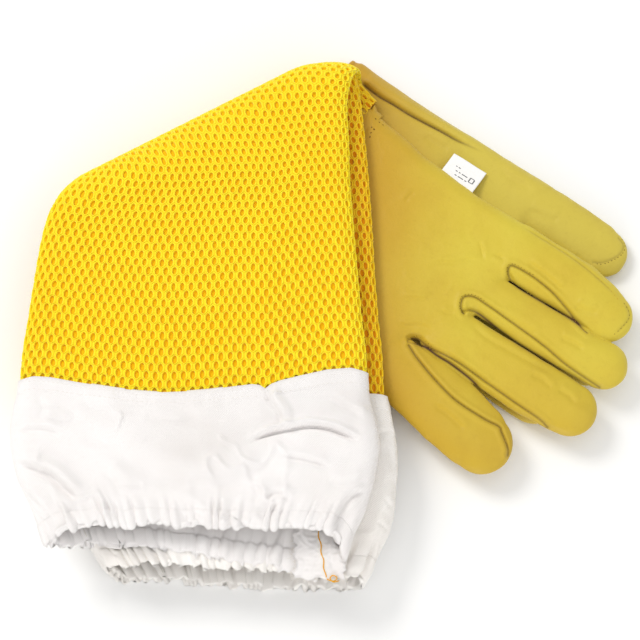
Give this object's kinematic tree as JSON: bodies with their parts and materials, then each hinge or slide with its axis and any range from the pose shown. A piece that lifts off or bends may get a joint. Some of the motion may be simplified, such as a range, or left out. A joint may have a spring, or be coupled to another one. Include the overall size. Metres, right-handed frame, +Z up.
{
  "type": "beekeeping gloves",
  "caption": "Pair of long beekeeping gloves with leather hands, mesh sleeves and elasticated cotton cuffs, nested and folded in half together.",
  "frame": {"origin": "centre of the footprint, on the surface the pair lies on", "axes": "+Z up out of the surface; the sleeves run from the fold towards -Y, the fingers point towards +X and -Y"},
  "size_m": [0.3216, 0.2804, 0.0447],
  "materials": {
    "leather": "smooth grain, slight sheen",
    "leather_side_walls": "smooth grain, in shade",
    "leather_trim": "smooth grain",
    "spacer_mesh": "knitted spacer mesh, matte",
    "cotton_twill": "matte twill",
    "elastic": "matte woven elastic",
    "label_cloth": "smooth satin ribbon"
  },
  "bodies": {
    "left_glove": {"left_hand_palm": "leather", "left_hand_back": "leather", "left_thumb": "leather", "left_wrist_band": "leather_trim", "left_sleeve_under": "spacer_mesh", "left_sleeve_fold": "spacer_mesh", "left_index_finger": "leather", "left_middle_finger": "leather", "left_ring_finger": "leather", "left_little_finger": "leather", "left_index_middle_fourchette": "leather_side_walls", "left_middle_ring_fourchette": "leather_side_walls", "left_ring_little_fourchette": "leather_side_walls"},
    "left_sleeve": {"left_sleeve_upper": "spacer_mesh", "left_cuff_seam_band": "cotton_twill", "left_cuff": "cotton_twill", "left_hem_casing": "cotton_twill", "left_hem_elastic": "elastic"},
    "right_glove": {"right_hand_palm": "leather", "right_hand_back": "leather", "right_thumb": "leather", "right_wrist_band": "leather_trim", "right_sleeve_under": "spacer_mesh", "right_sleeve_fold": "spacer_mesh"},
    "right_sleeve": {"right_sleeve_upper": "spacer_mesh", "right_cuff_seam_band": "cotton_twill", "right_cuff": "cotton_twill", "right_hem_casing": "cotton_twill", "right_hem_elastic": "elastic"},
    "right_index": {"right_index_finger": "leather", "right_index_middle_fourchette": "leather_side_walls"},
    "right_middle": {"right_middle_finger": "leather", "right_middle_ring_fourchette": "leather_side_walls"},
    "right_ring": {"right_ring_finger": "leather", "right_ring_little_fourchette": "leather_side_walls"},
    "right_little": {"right_little_finger": "leather"},
    "label": {"care_label": "label_cloth"}
  },
  "joints": [
    {"name": "left_sleeve_fold", "type": "hinge", "parent": "left_glove", "child": "left_sleeve", "pos_m": [-0.06052, 0.10247, 0.0204], "axis": [-0.8813, -0.4726, 0], "range_deg": [0, 175], "deforming": ["left_sleeve_fold"]},
    {"name": "pair_separation", "type": "slide", "parent": "left_glove", "child": "right_glove", "axis": [0.4726, -0.8813, 0], "range_m": [0, 0.25]},
    {"name": "right_sleeve_fold", "type": "hinge", "parent": "right_glove", "child": "right_sleeve", "pos_m": [-0.05575, 0.09357, 0.0204], "axis": [-0.8813, -0.4726, 0], "range_deg": [0, 175], "deforming": ["right_sleeve_fold"]},
    {"name": "right_index_knuckle", "type": "hinge", "parent": "right_glove", "child": "right_index", "pos_m": [0.10666, 0.03084, 0.0204], "axis": [-0.622, -0.783, 0], "range_deg": [0, 40]},
    {"name": "right_middle_knuckle", "type": "hinge", "parent": "right_glove", "child": "right_middle", "pos_m": [0.0894, 0.00593, 0.0204], "axis": [-0.5725, -0.8199, 0], "range_deg": [0, 40]},
    {"name": "right_ring_knuckle", "type": "hinge", "parent": "right_glove", "child": "right_ring", "pos_m": [0.06608, -0.01471, 0.0204], "axis": [-0.5356, -0.8445, 0], "range_deg": [0, 40]},
    {"name": "right_little_knuckle", "type": "hinge", "parent": "right_glove", "child": "right_little", "pos_m": [0.04892, -0.04542, 0.0204], "axis": [-0.6931, -0.7209, 0], "range_deg": [0, 40]},
    {"name": "label_hinge", "type": "hinge", "parent": "right_glove", "child": "label", "pos_m": [0.06843, 0.07305, 0.0156], "axis": [0.8329, -0.5534, 0], "range_deg": [0, 90]}
  ],
  "couplings": [
    {"joint": "right_sleeve_fold", "follows": "left_sleeve_fold", "ratio": 1}
  ]
}
